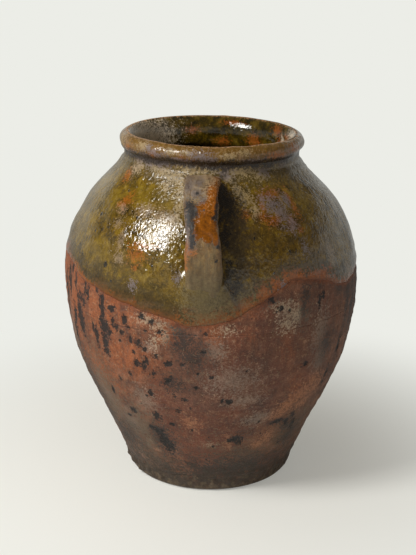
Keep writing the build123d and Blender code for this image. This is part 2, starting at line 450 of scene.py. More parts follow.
def root_swell(radius, height, azimuth):
    """Clay thumbed out round the straps' roots: under the lower one a fan that climbs just short of the
    strap's face and drops behind it, wider and folded on the strap's right; at the upper one a low smear."""
    swell = np.zeros_like(height)
    for side in (0, 180):
        gap = turn_gap(azimuth, side)
        across = np.where(np.abs(gap) < 60, np.radians(gap) * radius, 999)
        lean = across - 5.5
        low = np.clip((232 - height) / 30, 0, 1)
        fan = np.clip(face_height(height) + 0.3, 0, 9.5) * step(246, 232, height)
        fan = fan * step(-24 - 6 * low, -12, lean) * step(24 + 10 * low, 11, lean)
        fan += 1.2 * bump_of(height, 209, 7) * step(-26, -10, lean) * step(32, 14, lean)
        ridge = 2.4 * bump_of(lean - 0.6 * (234 - height), 15, 4)
        ridge *= step(208, 216, height) * step(240, 230, height)
        crease = 2.0 * bump_of(lean - 0.5 * (236 - height), 22, 3)
        crease *= step(210, 216, height) * step(238, 228, height)
        high = np.hypot(np.maximum(np.abs(across) - 13, 0), np.maximum(np.abs(height - 312) - 3, 0))
        swell += np.maximum(fan + ridge - crease, 0) + 2.0 * np.exp(-(high / 5.5) ** 1.5)
    return swell


def azimuth_row(columns=COLUMNS):
    """Azimuths of the columns, starting at the back."""
    return -180 + 360 * np.arange(columns)[None, :] / columns


def spaced(*stretches):
    """Column of places along an outline: (start, end, count) for each stretch, ends joined."""
    rows = [np.linspace(start, end, count, endpoint=False) for start, end, count in stretches]
    return np.append(np.concatenate(rows), stretches[-1][1])[:, None]


def mark_fields(table, height, across):
    """Fields of elliptical marks (centre, height, half width, half height), by name: 1 in the
    middle of a mark, 0 on its edge, falling to FAR. `across` gives the distance from a centre."""
    fields = {}
    for label, marks in table.items():
        fields[label] = np.full(height.shape, FAR)
        for centre, level, wide, tall in marks:
            near = 1 - np.hypot(across(centre) / wide, (height - level) / tall)
            fields[label] = np.maximum(fields[label], near)
    return fields


def round_marks(table, radius, height, azimuth):
    """Fields of marks whose centres are azimuths."""
    return mark_fields(table, height, lambda centre: np.radians(turn_gap(azimuth, centre)) * radius)


# Marks of use and of the kiln, and some painted shadow, shade and reflection. Round the pot: (azimuth in
# degrees, height, half width, half height in millimetres). On a strap: (across, height, half width, half
# height in millimetres).

GLAZE_MARKS = {
    "orange": (
        (-33, 333, 6, 3), (-13, 332, 5, 3), (-58, 333, 8, 3), (46, 334, 10, 3), (64, 336, 9, 4),
        (-6, 331, 3, 2), (-41, 292, 4.5, 5), (-43, 288, 3, 2), (-53, 310, 4, 4), (29, 293, 3, 6),
        (33, 283, 9, 3.5), (27, 287, 4, 3), (36, 302, 8, 4), (41, 279, 4, 5), (46, 292, 2.5, 9),
        (20, 289, 4, 3), (-25, 253, 6.5, 5), (-23, 261, 10, 1.6), (-25, 242, 2, 2.4), (31, 300, 3, 3),
        (12, 228, 3, 3), (44, 271, 3, 2), (110, 292, 8, 6), (124, 270, 5, 10), (-120, 300, 10, 5),
        (-142, 262, 6, 8), (160, 299, 9, 4), (-160, 252, 10, 3), (95, 250, 3, 5),
    ),
    "crust": (
        (-40, 339, 6, 3), (14, 336, 7, 3), (-10, 339, 4, 2), (24, 339, 5, 2), (-70, 334, 9, 6),
        (-20, 338, 5, 2), (-18, 316, 9, 5), (-26, 319, 9, 3), (-12, 307, 5, 5), (-34, 321, 6, 3),
        (20, 322, 24, 3.5), (14, 317, 6, 4), (22, 301, 5, 6), (25, 292, 4, 5), (18, 307, 3, 4),
        (-8, 322, 14, 4), (35, 318, 7, 4), (-46, 318, 6, 3), (-11, 292, 3, 9), (-21, 309, 4, 2.5),
        (150, 318, 16, 5), (128, 312, 8, 8), (-150, 320, 20, 4), (-128, 288, 7, 10), (100, 306, 6, 7),
        (172, 286, 5, 12),
    ),
    "lilac": (
        (-2, 336, 9, 4), (3, 333, 6, 3), (-28, 334, 7, 3), (-35, 338, 4, 3), (-16, 331, 16, 2.4),
        (30, 331, 12, 2), (-38, 327, 5, 6), (-24, 326, 6, 3), (56, 327, 5, 5), (12, 318, 6, 2),
        (38, 320, 5, 3), (120, 336, 10, 4), (34, 294, 8, 7), (38, 287, 7, 9), (41, 277, 4, 6),
        (31, 299, 5, 3), (43, 296, 4, 5), (-46, 327, 7, 4), (-40, 331, 5, 3), (44, 256, 3, 5),
        (-25, 227, 3.5, 4), (-8, 238, 3, 4), (12, 322, 5, 3), (31, 228, 3, 3), (-30, 325, 6, 3),
        (140, 287, 9, 8), (-112, 268, 6, 7), (-165, 300, 8, 7), (165, 262, 5, 6),
    ),
    "veil": (
        (-20, 270, 8, 22), (4, 222, 18, 14), (14, 218, 14, 9), (62, 277, 6, 30), (70, 262, 8, 34),
        (57, 300, 10, 16), (-70, 300, 20, 22), (-60, 316, 22, 8), (-12, 262, 8, 20), (-15, 298, 16, 14),
        (12, 250, 9, 16), (80, 292, 14, 30), (-83, 268, 14, 30), (24, 232, 5, 10), (120, 296, 20, 16),
        (-140, 300, 26, 14), (170, 280, 16, 30), (-170, 224, 22, 12), (150, 246, 12, 20), (50, 315, 26, 7),
    ),
    "dust": (
        (-41, 286, 5, 3), (-39, 274, 3.4, 3.6), (-34, 262, 3, 8), (-33, 247, 4.5, 4), (-27, 288, 9, 4),
        (-19, 286, 7, 4), (-48, 321, 5, 6), (-14, 283, 4, 6), (130, 280, 6, 8), (-140, 262, 7, 6),
        (58, 246, 5, 8), (70, 222, 6, 8),
    ),
    "burnt": (
        (-40, 219, 12, 5), (-30, 213.5, 13, 5), (-20, 209, 13, 5), (-11, 205, 9, 5), (96, 226, 12, 5),
        (-130, 222, 14, 5),
    ),
    "fan": ((3, 214, 19, 17), (2, 226, 17, 16), (9, 222, 22, 13), (182, 226, 16, 16), (189, 222, 20, 12)),
    # Grey-brown smudges; beside the straps they paint the softer part of the straps' cast shadow
    "smoke_and_strap_shadow": (
        (14, 274, 13, 28), (17, 262, 10, 22), (16, 246, 9, 14), (15, 292, 9, 14), (193, 270, 10, 30),
        (100, 280, 16, 16),
    ),
    "honey": (
        (4, 202, 21, 7.5), (16, 211, 12, 8), (24, 222, 9, 7), (36, 234, 15, 5), (50, 230, 11, 5),
        (29, 229, 7, 6), (186, 212, 24, 7), (104, 228, 18, 7), (-140, 225, 20, 6), (-76, 232, 12, 6),
    ),
    # Painted shadow that each strap casts on the shoulder beside it and by its foot
    "grime": (
        (9.5, 298, 5, 18), (13, 296, 8, 12), (10, 276, 3.5, 14), (11, 240, 4, 12), (13, 231, 4, 9),
        (190, 286, 8, 26), (191, 246, 6, 18), (172, 268, 5, 24),
    ),
    # Brown patches of the glaze; the one at 14° beside the front strap paints part of its cast shadow
    "brown": (
        (48, 262, 46, 24), (26, 262, 24, 26), (38, 240, 40, 12), (14, 282, 9, 26), (60, 240, 20, 12),
        (100, 262, 30, 24), (-110, 250, 34, 22), (140, 268, 26, 26), (-160, 276, 34, 20), (-38, 331, 24, 6),
        (28, 331, 60, 6),
    ),
    "green": (
        (-63, 262, 26, 26), (-47, 246, 34, 14), (-34, 302, 22, 9), (-52, 288, 20, 14), (-25, 232, 30, 10),
        (-10, 222, 20, 8), (30, 310, 12, 6), (24, 316, 12, 4), (52, 284, 10, 12), (-130, 240, 34, 14),
        (130, 232, 30, 12),
    ),
    # Black pits; the tall dashes from 66° to 84° paint dark reflections down the right shoulder
    "pits": (
        (-53, 277, 1.6, 1.6), (-39, 239, 2.2, 2.6), (-51, 263, 1.3, 1.3), (-55, 240, 1.1, 1.3),
        (-30, 282, 1.1, 1.1), (-60, 246, 1.3, 1.3), (-44, 300, 1, 1.2), (36, 256, 1.2, 1.2),
        (22, 270, 1, 1.2), (50, 250, 1.3, 1.1), (-24, 275, 1, 1), (-18, 246, 1.2, 1.2), (-56, 232, 1.2, 1.4),
        (-35, 226, 1.2, 1.2), (28, 240, 1.2, 1), (70, 240, 1.4, 1.8), (69, 296, 1.4, 7), (71, 284, 1.2, 5),
        (73, 304, 1.3, 4), (75, 276, 1.5, 7), (77, 290, 1.3, 5), (78, 262, 1.6, 8), (80, 248, 1.5, 7),
        (74, 254, 1.3, 5), (83, 272, 1.5, 9), (66, 306, 1.2, 4), (72, 268, 1.1, 4), (84, 240, 1.4, 6),
        (110, 240, 1.5, 1.5), (-100, 262, 1.4, 1.8), (140, 300, 1.3, 1.3), (-150, 236, 1.6, 1.6),
    ),
}
CLAY_MARKS = {
    "wine": (
        (0, 70, 30, 28), (6, 50, 22, 22), (14, 168, 9, 34), (8, 140, 12, 16), (24, 196, 9, 26),
        (47, 132, 10, 18), (-4, 100, 24, 18), (10, 104, 20, 12), (30, 140, 9, 22), (52, 200, 10, 16),
        (-16, 110, 12, 30), (120, 130, 20, 30), (-170, 110, 30, 30),
    ),
    "purple": (
        (34, 190, 50, 30), (26, 140, 40, 36), (-3, 160, 18, 30), (48, 160, 30, 50), (2, 124, 24, 20),
        (56, 100, 24, 40), (130, 170, 50, 50), (-140, 100, 40, 40),
    ),
    "dirt": (
        (-55, 76, 30, 46), (-66, 104, 16, 34), (-40, 44, 34, 32), (-30, 66, 14, 26), (-46, 110, 14, 26),
        (24, 40, 30, 20), (50, 60, 24, 24), (100, 60, 40, 40), (-110, 60, 50, 40), (170, 50, 50, 30),
    ),
    "red": (
        (-40, 196, 40, 26), (-58, 190, 22, 40), (-30, 156, 34, 18), (-14, 202, 18, 6), (6, 190, 10, 16),
        (17, 186, 14, 9), (-44, 130, 20, 24), (22, 205, 16, 6), (-12, 186, 12, 10), (34, 170, 10, 22),
        (44, 128, 14, 18), (-70, 212, 16, 30), (100, 150, 30, 20), (-120, 196, 34, 22), (150, 120, 26, 20),
        (-160, 150, 30, 26),
    ),
    "soot": (
        (-5, 178, 10, 12), (-2, 164, 10, 10), (-7, 188, 7, 6), (-19, 60, 9, 15), (-23, 70, 6, 8),
        (23, 218, 9, 4), (41, 218, 4, 16), (40, 206, 3, 14), (68, 200, 4, 30), (74, 190, 6, 36),
        (80, 206, 8, 26), (84, 186, 6, 26), (60, 216, 5, 9), (46, 72, 7, 6), (38, 82, 8, 3), (52, 56, 10, 12),
        (18, 69, 5, 5), (-62, 84, 10, 40), (-74, 110, 10, 34), (-52, 50, 20, 14), (20, 30, 40, 12),
        (54, 160, 8, 12), (-10, 134, 9, 7), (100, 90, 18, 24), (126, 200, 9, 22), (-108, 120, 12, 30),
        (-140, 170, 16, 12), (165, 190, 20, 14), (-176, 80, 18, 18), (90, 212, 10, 12),
    ),
    "scum": (
        (-19, 198, 9, 5), (-14, 193, 7, 7), (-12, 184, 5, 8), (-8, 190, 8, 3), (36, 200, 12, 10),
        (33, 192, 9, 8), (-16, 178, 4, 7), (30, 210, 10, 4), (9, 192, 8, 4), (-29, 56, 4, 4), (-25, 47, 5, 3),
        (-32, 50, 3, 5), (11, 36, 4, 6), (9, 26, 3, 6), (5, 62, 6, 3), (-40, 36, 4, 3), (110, 206, 10, 6),
        (-150, 204, 12, 6),
    ),
    "grey": (
        (36, 196, 12, 10), (32, 204, 8, 7), (6, 172, 8, 9), (19, 118, 14, 6), (26, 92, 13, 7),
        (50, 176, 8, 20), (-36, 76, 18, 16), (-50, 100, 14, 22), (-24, 110, 10, 14), (52, 150, 8, 16),
        (-66, 150, 8, 26), (12, 140, 20, 12), (-18, 170, 6, 6), (120, 150, 18, 14), (-130, 110, 22, 18),
        (170, 140, 16, 20),
    ),
    "pale": (
        (-4, 89, 6, 6), (14, 63, 3, 8), (13, 72, 3, 4), (34, 65, 7, 6), (30, 58, 6, 4), (40, 99, 9, 7),
        (46, 110, 10, 8), (36, 90, 6, 4), (52, 122, 7, 7), (55, 112, 8, 10), (50, 98, 8, 5), (-26, 46, 4, 2),
        (130, 110, 8, 6), (-150, 84, 9, 7),
    ),
    "spots": (
        (-66, 214, 2.4, 8), (-62, 222, 1.6, 5), (-58, 212, 2, 6), (-52, 196, 3, 4), (-42, 214, 1.6, 3),
        (-34, 200, 3, 2.4), (-60, 176, 3, 8), (-36, 176, 2.4, 3), (-30, 180, 2.6, 2.4), (-27, 186, 1.8, 2),
        (-24, 152, 2, 2.6), (-70, 200, 2, 12), (-55, 183, 3, 13), (-54, 172, 4, 9), (-57, 196, 1.6, 6),
        (-39.5, 192, 3.2, 16), (-38.5, 180, 4, 9), (-39, 206, 2, 6), (-39, 164, 3.4, 10),
        (-38.5, 155, 2.8, 6), (-48, 207, 1.5, 6), (-50, 213, 1.2, 5), (-44, 167, 1.6, 8), (-46, 175, 1.3, 4),
        (-34, 187, 1.6, 4), (-32, 184, 2.6, 3), (-28, 193, 2, 4), (-21, 200, 2.4, 2.4), (-17, 196, 2, 2),
        (-14, 187, 2.2, 1.8), (-31, 171, 1.5, 1.8), (-23, 173, 2.2, 2.2), (-26, 176, 1.2, 3),
        (-25, 163, 1.5, 1.5), (-20, 168, 1.2, 1.4), (-16, 162, 2.6, 2), (-20, 156, 1.8, 3),
        (-21, 150, 2.4, 4), (-18, 144, 1.8, 1.6), (-11, 156, 2.8, 1.5), (-6, 157, 1.4, 1.2),
        (-12, 137, 2.4, 3), (-1, 133, 1.4, 1.2), (-10, 122, 1.4, 1.4), (-6, 118, 2.2, 1.5), (-9, 102, 2, 1.6),
        (-20, 120, 1.6, 3), (-20, 93, 2.8, 3), (-33, 92, 2.4, 3), (-13, 85, 1.6, 1.2), (-25, 76, 2.4, 1.6),
        (-37, 84, 1.6, 1.2), (12, 117, 2.6, 2), (9, 119, 1.6, 1.6), (44, 146, 2.4, 1.8), (30, 208, 2, 2),
        (34, 205, 1.2, 1.2), (48, 204, 1.4, 5), (50, 212, 1.4, 3), (27, 216, 3, 2), (2, 170, 1.5, 1.5),
        (-8, 176, 1.4, 1.2), (5, 144, 1.4, 1), (-64, 206, 1.6, 9), (-68, 186, 2, 12), (-62, 156, 1.6, 10),
        (-16, 214, 1.4, 1.4), (0, 148, 1, 1), (18, 150, 1.2, 1), (-28, 140, 1.4, 2), (-34, 128, 1.3, 3),
        (-42, 110, 1.4, 4), (-4, 80, 1, 1), (6, 60, 1.2, 1), (66, 150, 2, 9), (62, 120, 1.6, 7),
        (96, 180, 3, 12), (104, 160, 2, 6), (118, 176, 1.8, 4), (132, 150, 2.4, 2.4), (144, 190, 2, 7),
        (156, 130, 2, 3), (170, 160, 2.4, 8), (-176, 186, 2, 2), (-164, 120, 2.2, 2.2), (-152, 190, 3, 14),
        (-140, 140, 1.8, 3), (-20, 64, 3, 7), (-17, 54, 3.4, 6), (-22, 72, 2.4, 4), (17.5, 69, 4, 3),
        (19.5, 65, 2.4, 3), (14, 66, 1.6, 1.4), (44, 80, 3, 2.4), (38, 83, 4.5, 1.4), (50, 72, 2.2, 5),
        (47, 84, 2, 3), (-128, 160, 2.6, 9), (-116, 180, 2, 6), (-104, 150, 2.6, 10), (-96, 196, 2, 8),
        (-88, 130, 2, 9), (88, 120, 2, 5),
    ),
}
INSIDE_MARKS = {
    "orange": (
        (126, 338, 6, 4), (122, 326, 4, 5), (150, 322, 6, 5), (176, 318, 6, 4), (110, 334, 8, 3),
        (-160, 330, 6, 3), (168, 338, 9, 2), (-140, 310, 7, 4), (90, 322, 6, 4), (40, 300, 8, 6),
        (-60, 290, 8, 6),
    ),
    # Pale crust; the broad patches on the inner left also paint the light that wall reflects
    "crust": (
        (-104, 332, 34, 12), (-125, 324, 20, 14), (-88, 322, 24, 16), (118, 328, 3, 4), (-80, 300, 20, 10),
        (-70, 330, 20, 12), (96, 336, 12, 8),
    ),
}
FRONT_STRAP_MARKS = {
    "crust": ((-6, 314, 9, 8), (-2, 319, 10, 5), (-9, 307, 5, 4), (2, 310, 4, 3)),
    "amber": (
        (6, 290, 10, 15), (11, 305, 5, 14), (9, 279, 5, 5), (3, 297, 7, 9), (15, 278, 3, 6), (0, 282, 5, 6),
    ),
    "orange": (
        (10, 312, 6, 7), (13, 302, 3, 8), (4, 303, 3, 3), (-1, 320, 14, 1.4), (-10, 268, 2.2, 6),
        (-9, 272, 3, 4), (-12, 260, 3, 9), (-6, 266, 5, 3),
    ),
    "lilac": (
        (-9, 290, 3.4, 18), (-6, 276, 4, 8), (-10, 303, 3, 5), (-4, 311, 5, 3), (-11, 315, 4, 4),
        (2, 307, 3, 3), (-3, 317, 4, 2),
    ),
    "black": (
        (-8, 302, 5, 4), (-5, 298, 4, 5), (-8, 294, 3, 6), (-6, 286, 2, 9), (-5, 276, 2, 7),
        (14.6, 299, 1.6, 9), (12.5, 294, 2, 1.6), (17, 271, 1.6, 1.6), (16, 259, 1.3, 1.3), (4, 300, 1, 1),
        (-3, 311, 1.2, 1),
    ),
    "grey": ((0, 262, 5, 14), (8, 252, 4, 16), (14, 262, 3, 20), (4, 240, 16, 8)),
}
REAR_STRAP_MARKS = {
    "crust": ((5, 315, 10, 6), (-8, 318, 7, 4), (9, 250, 5, 8)),
    "amber": ((-4, 286, 9, 20), (-8, 300, 5, 9), (2, 272, 7, 7), (6, 262, 6, 10)),
    "orange": ((-9, 310, 5, 6), (0, 320, 13, 1.4), (-10, 276, 3, 7)),
    "lilac": ((9, 288, 4, 14), (3, 256, 5, 6)),
    "black": ((7, 300, 4, 5), (9, 292, 2.4, 8), (-13, 286, 1.6, 8), (-2, 262, 1.6, 2), (4, 278, 1.2, 1.2)),
    "grey": ((-4, 256, 6, 16), (6, 244, 8, 12), (0, 236, 16, 6)),
}


# Materials

# A Mix node that mixes colours: its factor, its two colours, and its output
FACTOR, UNDER, OVER, MIXED = 0, 6, 7, 2


class Coat:
    """A material being built up: its colour so far, and by name the fields that shape it. A name that
    isn't made here is a field that the mesh carries. Lengths are in millimetres of the real surface."""

    def __init__(self, name, finishes):
        self.material = bpy.data.materials.new(name)
        self.tree = emptied(self.material)
        self.finishes = finishes
        self.fields = {}
        self.colour = None
        place = add_node(self.tree, "ShaderNodeTexCoord").outputs["Object"]
        self.place = add_node(self.tree, "ShaderNodeMapping", {"Scale": (1 / MM,) * 3, "Vector": place})

    def shade(self, code):
        """Scene-linear RGBA of a colour property's name, or of an sRGB hex value."""
        return tuple(getattr(self.finishes, code)) if hasattr(self.finishes, code) else linear(code)

    def field(self, label):
        """The field of that name."""
        if label not in self.fields:
            carried = add_node(self.tree, "ShaderNodeAttribute", attribute_name=label)
            self.fields[label] = carried.outputs["Fac"]
        return self.fields[label]

    def noises(self, **fields):
        """Noise fields: name=(size, detail, roughness, distortion, scale upwards)."""
        for label, (size, detail, roughness, distortion, upwards) in fields.items():
            place = add_node(self.tree, "ShaderNodeMapping", {"Scale": (1, 1, upwards), "Vector": self.place})
            self.fields[label] = add_node(self.tree, "ShaderNodeTexNoise", {
                "Scale": 1 / size, "Detail": detail, "Roughness": roughness, "Distortion": distortion,
                "Vector": place,
            })

    def frays(self, **fields):
        """Rough fields of about -0.5 to 0.5 from two noises: name=(coarse size, fine size, scale upwards)."""
        for label, (coarse, fine, upwards) in fields.items():
            self.noises(coarse=(coarse, 5, 0.65, 0, upwards), fine=(fine, 3, 0.6, 0, upwards))
            both = add_node(self.tree, "ShaderNodeMath", {0: self.field("coarse"), 1: self.field("fine")},
                            operation="ADD")
            centred = add_node(self.tree, "ShaderNodeMath", {0: both, 1: 1.0}, operation="SUBTRACT")
            self.fields[label] = centred

    def slopes(self, **fields):
        """Straight-line fields: name=(field, two of its values, what they become)."""
        for label, (source, *four) in fields.items():
            inputs = {"Value": self.field(source)} | ends(*four)
            self.fields[label] = add_node(self.tree, "ShaderNodeMapRange", inputs, clamp=False)

    def ramp(self, label, *stops):
        """Starts the colour as a ramp over a field, with stops (value, colour)."""
        node = add_node(self.tree, "ShaderNodeValToRGB", {"Fac": self.field(label)})
        elements = node.color_ramp.elements
        for element, (value, code) in zip(elements, (stops[0], stops[-1])):
            element.position, element.color = value, self.shade(code)
        for value, code in stops[1:-1]:
            elements.new(value).color = self.shade(code)
        self.colour = node.outputs["Color"]

    def lay(self, mask, code):
        """Lays one colour over the colour so far."""
        inputs = {FACTOR: mask, UNDER: self.colour, OVER: self.shade(code)}
        self.colour = add_node(self.tree, "ShaderNodeMix", inputs, data_type="RGBA").outputs[MIXED]

    def paint(self, *layers):
        """Lays frayed layers over the colour: (field, colour, fraying field, gain, softness, strength,
        level). A layer shows, up to its strength, where its field plus `gain` times the fraying one climbs
        through the level, within the softness. Its mask is kept under the field's name with _mask."""
        for label, code, frayer, gain, soft, strength, level in layers:
            terms = {0: self.field(frayer), 1: gain, 2: self.field(label)}
            frayed = add_node(self.tree, "ShaderNodeMath", terms, operation="MULTIPLY_ADD")
            inputs = {"Value": frayed} | ends(level - soft, level + soft, 0.0, strength)
            mask = add_node(self.tree, "ShaderNodeMapRange", inputs, interpolation_type="SMOOTHSTEP")
            self.lay(mask, code)
            self.fields[label + "_mask"] = mask

    def pepper(self, *layers):
        """Scatters specks over the colour: (name, pitch, size, share of the pattern's cells that hold one,
        how far its outline frays, strength, colour)."""
        for label, pitch, size, share, fray, strength, code in layers:
            push = add_node(self.tree, "ShaderNodeTexNoise",
                            {"Scale": 1 / 3.5, "Detail": 4, "Roughness": 0.6, "Vector": self.place})
            centred = add_node(self.tree, "ShaderNodeVectorMath",
                               {0: push.outputs["Color"], 1: (0.5, 0.5, 0.5)}, operation="SUBTRACT")
            scaled = add_node(self.tree, "ShaderNodeVectorMath", {0: centred, "Scale": 2 * fray},
                              operation="SCALE")
            place = add_node(self.tree, "ShaderNodeVectorMath", {0: self.place, 1: scaled}, operation="ADD")
            cells = add_node(self.tree, "ShaderNodeTexVoronoi", {"Scale": 1 / pitch, "Vector": place})
            chance = add_node(self.tree, "ShaderNodeMapRange",
                              {"Value": cells.outputs["Color"]} | ends(1 - share * 0.75, 1.0, 0.0, 1.0))
            reach = add_node(self.tree, "ShaderNodeMath", {0: chance, 1: size / 2 / pitch},
                             operation="MULTIPLY")
            inside = add_node(self.tree, "ShaderNodeMath", {0: reach, 1: cells.outputs["Distance"]},
                              operation="SUBTRACT")
            mask = add_node(self.tree, "ShaderNodeMapRange",
                            {"Value": inside} | ends(0.0, 0.35 / pitch, 0.0, 1.0))
            self.fields[label] = mask
            shown = add_node(self.tree, "ShaderNodeMath", {0: mask, 1: strength}, operation="MULTIPLY")
            self.lay(shown, code)

    def total(self, **factors):
        """Sum of fields, each times its factor."""
        result = 0.0
        for label, factor in factors.items():
            result = add_node(self.tree, "ShaderNodeMath", {0: self.field(label), 1: factor, 2: result},
                              operation="MULTIPLY_ADD")
        return result

    def finish(self, depth, roughness, relief, ior):
        """The material, with its colour's lightness varied by `depth` times the gritty field, a roughness
        and an IOR, bumped by a relief in millimetres."""
        value = add_node(self.tree, "ShaderNodeMath", {0: self.field("gritty"), 1: depth, 2: 1.0},
                         operation="MULTIPLY_ADD")
        varied = add_node(self.tree, "ShaderNodeHueSaturation", {"Value": value, "Color": self.colour})
        bump = add_node(self.tree, "ShaderNodeBump", {"Strength": 1.0, "Distance": MM, "Height": relief})
        shader = add_node(self.tree, "ShaderNodeBsdfPrincipled",
                          {"Base Color": varied, "Roughness": roughness, "IOR": ior, "Normal": bump})
        add_node(self.tree, "ShaderNodeOutputMaterial", {"Surface": shader})
        return self.material


def clay_material(finishes):
    """Fired red earthenware, thrown and left bare: matt and gritty, orange where the fire was clean and
    purplish where it smoked, with vitrified black spots, pits and a sooty foot."""
    coat = Coat("fired_red_earthenware", finishes)
    coat.noises(mottle=(20, 10, 0.74, 0, 1), streak=(5, 5, 0.6, 0, 0.16), blotch=(6, 6, 0.72, 0, 1),
                bloom=(8.5, 7, 0.75, 0.5, 1.5))
    coat.frays(rough=(9, 2.2, 1), gritty=(2.8, 1.3, 1), grain=(1.7, 0.9, 1))
    coat.slopes(foot=("height", 58, 4, -1.1, 0.9), flash=("below", 6, -1, -1, 1))
    coat.ramp("mottle", (0.30, "36231C"), (0.42, "593729"), (0.52, "clay_brown"), (0.63, "8C5E47"),
              (0.76, "AA8A70"))
    coat.paint(
        ("red", "clay_red", "rough", 3.0, 0.7, 0.75, 0),
        ("wine", "743E2A", "rough", 4.0, 0.8, 0.7, 0),
        ("purple", "654438", "rough", 2.6, 0.8, 0.55, 0),
        ("streak", "4C342A", "gritty", 0.5, 0.08, 0.55, 0.58),
        ("blotch", "452D25", "gritty", 0.35, 0.05, 0.6, 0.60),
        ("bloom", "9C7A5C", "gritty", 0.6, 0.05, 0.4, 0.62),
        ("grey", "8C7D70", "gritty", 4.5, 0.8, 0.52, 0.05),
        ("scum", "A8967F", "gritty", 6.0, 0.5, 0.6, 0.25),
        ("dirt", "584B38", "gritty", 7.0, 0.8, 0.72, 0),
        ("pale", "A8714E", "gritty", 6.0, 0.7, 0.55, 0),
        ("soot", "soot", "gritty", 7.0, 0.7, 0.85, 0),
        ("grain", "A08A72", "rough", 0.8, 0.08, 0.42, 0.28),
        ("foot", "373027", "rough", 2.6, 0.5, 0.85, 0),
        ("foot", "7C6A50", "blotch", 5.0, 0.25, 0.38, 3.45),
        # Glaze vapour leaves the clay just under the coat's edge redder
        ("flash", "7E4018", "rough", 3.4, 0.8, 0.6, 0),
        ("spots", "1F1C1B", "rough", 5.0, 0.4, 0.95, -0.3),
    )
    coat.pepper(
        ("sand", 4.3, 2.6, 0.4, 1.5, 0.32, "AC8E6E"),
        ("small", 8, 5.4, 0.36, 2.2, 0.9, "261F1C"),
        ("tiny", 3.2, 2.5, 0.5, 2.2, 0.7, "33281F"),
    )
    roughness = add_node(coat.tree, "ShaderNodeMapRange",
                         {"Value": coat.field("rough")} | ends(-0.4, 0.4, 0.50, 0.80))
    relief = coat.total(grain=0.20, gritty=0.45, rough=0.5, spots_mask=-0.5, small=-0.6, tiny=-0.3,
                        streak=0.3, bloom=0.8)
    return coat.finish(1.3, roughness, relief, 1.5)


def glaze_material(finishes):
    """Lead glaze over red clay: a transparent honey glaze stained olive by iron and copper. It is deep and
    glossy with broken reflections, runs thin and amber at its edge, and is weathered to a dull crust."""
    coat = Coat("lead_glazed_earthenware", finishes)
    coat.noises(mottle=(11, 9, 0.74, 0.4, 0.8), drip=(4.5, 5, 0.6, 0, 0.22), swell=(2.9, 2, 0.45, 0.6, 0.65))
    coat.frays(rough=(8, 2.2, 1), gritty=(2.8, 1.2, 1), flecks=(3.6, 1.5, 0.7))
    coat.slopes(rim=("height", 329, 333, -1, 0.6), band=("above", 8.5, 1, -1, 1),
                thick=("above", 28, 10, -1, 1), lip=("above", 3.2, 0, -1, 1))
    rim = add_node(coat.tree, "ShaderNodeMath", {0: coat.field("rim"), 1: 0.7}, operation="MINIMUM")
    coat.fields["rim"] = rim
    coat.ramp("mottle", (0.30, "1E1605"), (0.42, "3E2F0B"), (0.52, "olive"), (0.62, "80671A"),
              (0.74, "98863E"))
    coat.paint(
        ("green", "66530E", "rough", 3.0, 0.9, 0.5, 0),
        # Brown patches, one of them painted shadow beside the front strap
        ("brown", "4C380C", "rough", 3.0, 0.9, 0.45, 0),
        ("gritty", "2A200C", "rough", 0.4, 0.08, 0.8, 0.22),
        ("rough", "7C4416", "gritty", 0.5, 0.06, 0.4, 0.28),
        ("veil", "78683A", "gritty", 4.6, 0.8, 0.4, 0.1),
        ("flecks", "8C763C", "rough", 0.5, 0.05, 0.4, 0.30),
        ("drip", "8E7A44", "gritty", 0.5, 0.08, 0.35, 0.64),
        ("gritty", "5C4816", "rough", 0.3, 0.05, 0.25, 0.07),
        ("neck", "4E4228", "rough", 4.5, 0.4, 0.6, 0.05),
        ("rim", "6C4E20", "rough", 3.4, 0.4, 0.85, 0),
        ("rim", "8C6E4A", "flecks", 3.4, 0.3, 0.7, 1.0),
        ("thick", "37290A", "rough", 3.4, 0.8, 0.75, 0),
        ("band", "amber", "rough", 4.5, 0.8, 0.85, 0),
        ("honey", "amber", "rough", 4.0, 0.7, 0.85, 0),
        ("burnt", "50391A", "gritty", 3.0, 0.8, 0.8, 0),
        ("lip", "5E2F0A", "gritty", 3.4, 0.7, 0.75, 0),
        ("orange", "94500F", "gritty", 5.5, 0.8, 0.65, 0),
        ("crust", "917D58", "gritty", 6.5, 0.5, 0.72, 0),
        ("lilac", "665C5E", "gritty", 6.0, 0.45, 0.82, 0),
        ("dust", "8A7866", "gritty", 5.0, 0.6, 0.5, 0),
        ("fan", "605438", "gritty", 3.0, 0.6, 0.8, 0),
        # Smudges, partly painted shadow beside the straps
        ("smoke_and_strap_shadow", "3C3224", "rough", 4.0, 0.9, 0.72, 0),
        # Painted shadow of the straps, near black
        ("grime", "1E150C", "rough", 2.6, 0.7, 0.82, 0),
        ("crest", "A98058", "gritty", 3.0, 0.35, 0.8, 0.15),
        # Painted shade, with some dirt, under the rim
        ("groove", "261A14", "rough", 2.8, 0.5, 0.88, 0),
        # Pits, and painted dark reflections on the right shoulder
        ("pits", "1E180D", "gritty", 1.2, 0.2, 0.95, 0),
    )
    coat.pepper(("small", 5, 2.6, 0.4, 1.4, 0.75, "1F1809"))
    dull = coat.total(crust_mask=0.48, lilac_mask=0.35, veil_mask=0.05, crest_mask=0.35, rough=0.04,
                      lip_mask=0.15, grime_mask=0.20, neck_mask=0.20, gritty_mask=0.35)
    relief = coat.total(swell=0.66, gritty=0.01, pits_mask=-0.5, small=-0.15, crust_mask=0.15, drip=0.12)
    roughness = add_node(coat.tree, "ShaderNodeMath", {0: dull, 1: 0.04}, operation="ADD", use_clamp=True)
    return coat.finish(1.1, roughness, relief, 1.56)


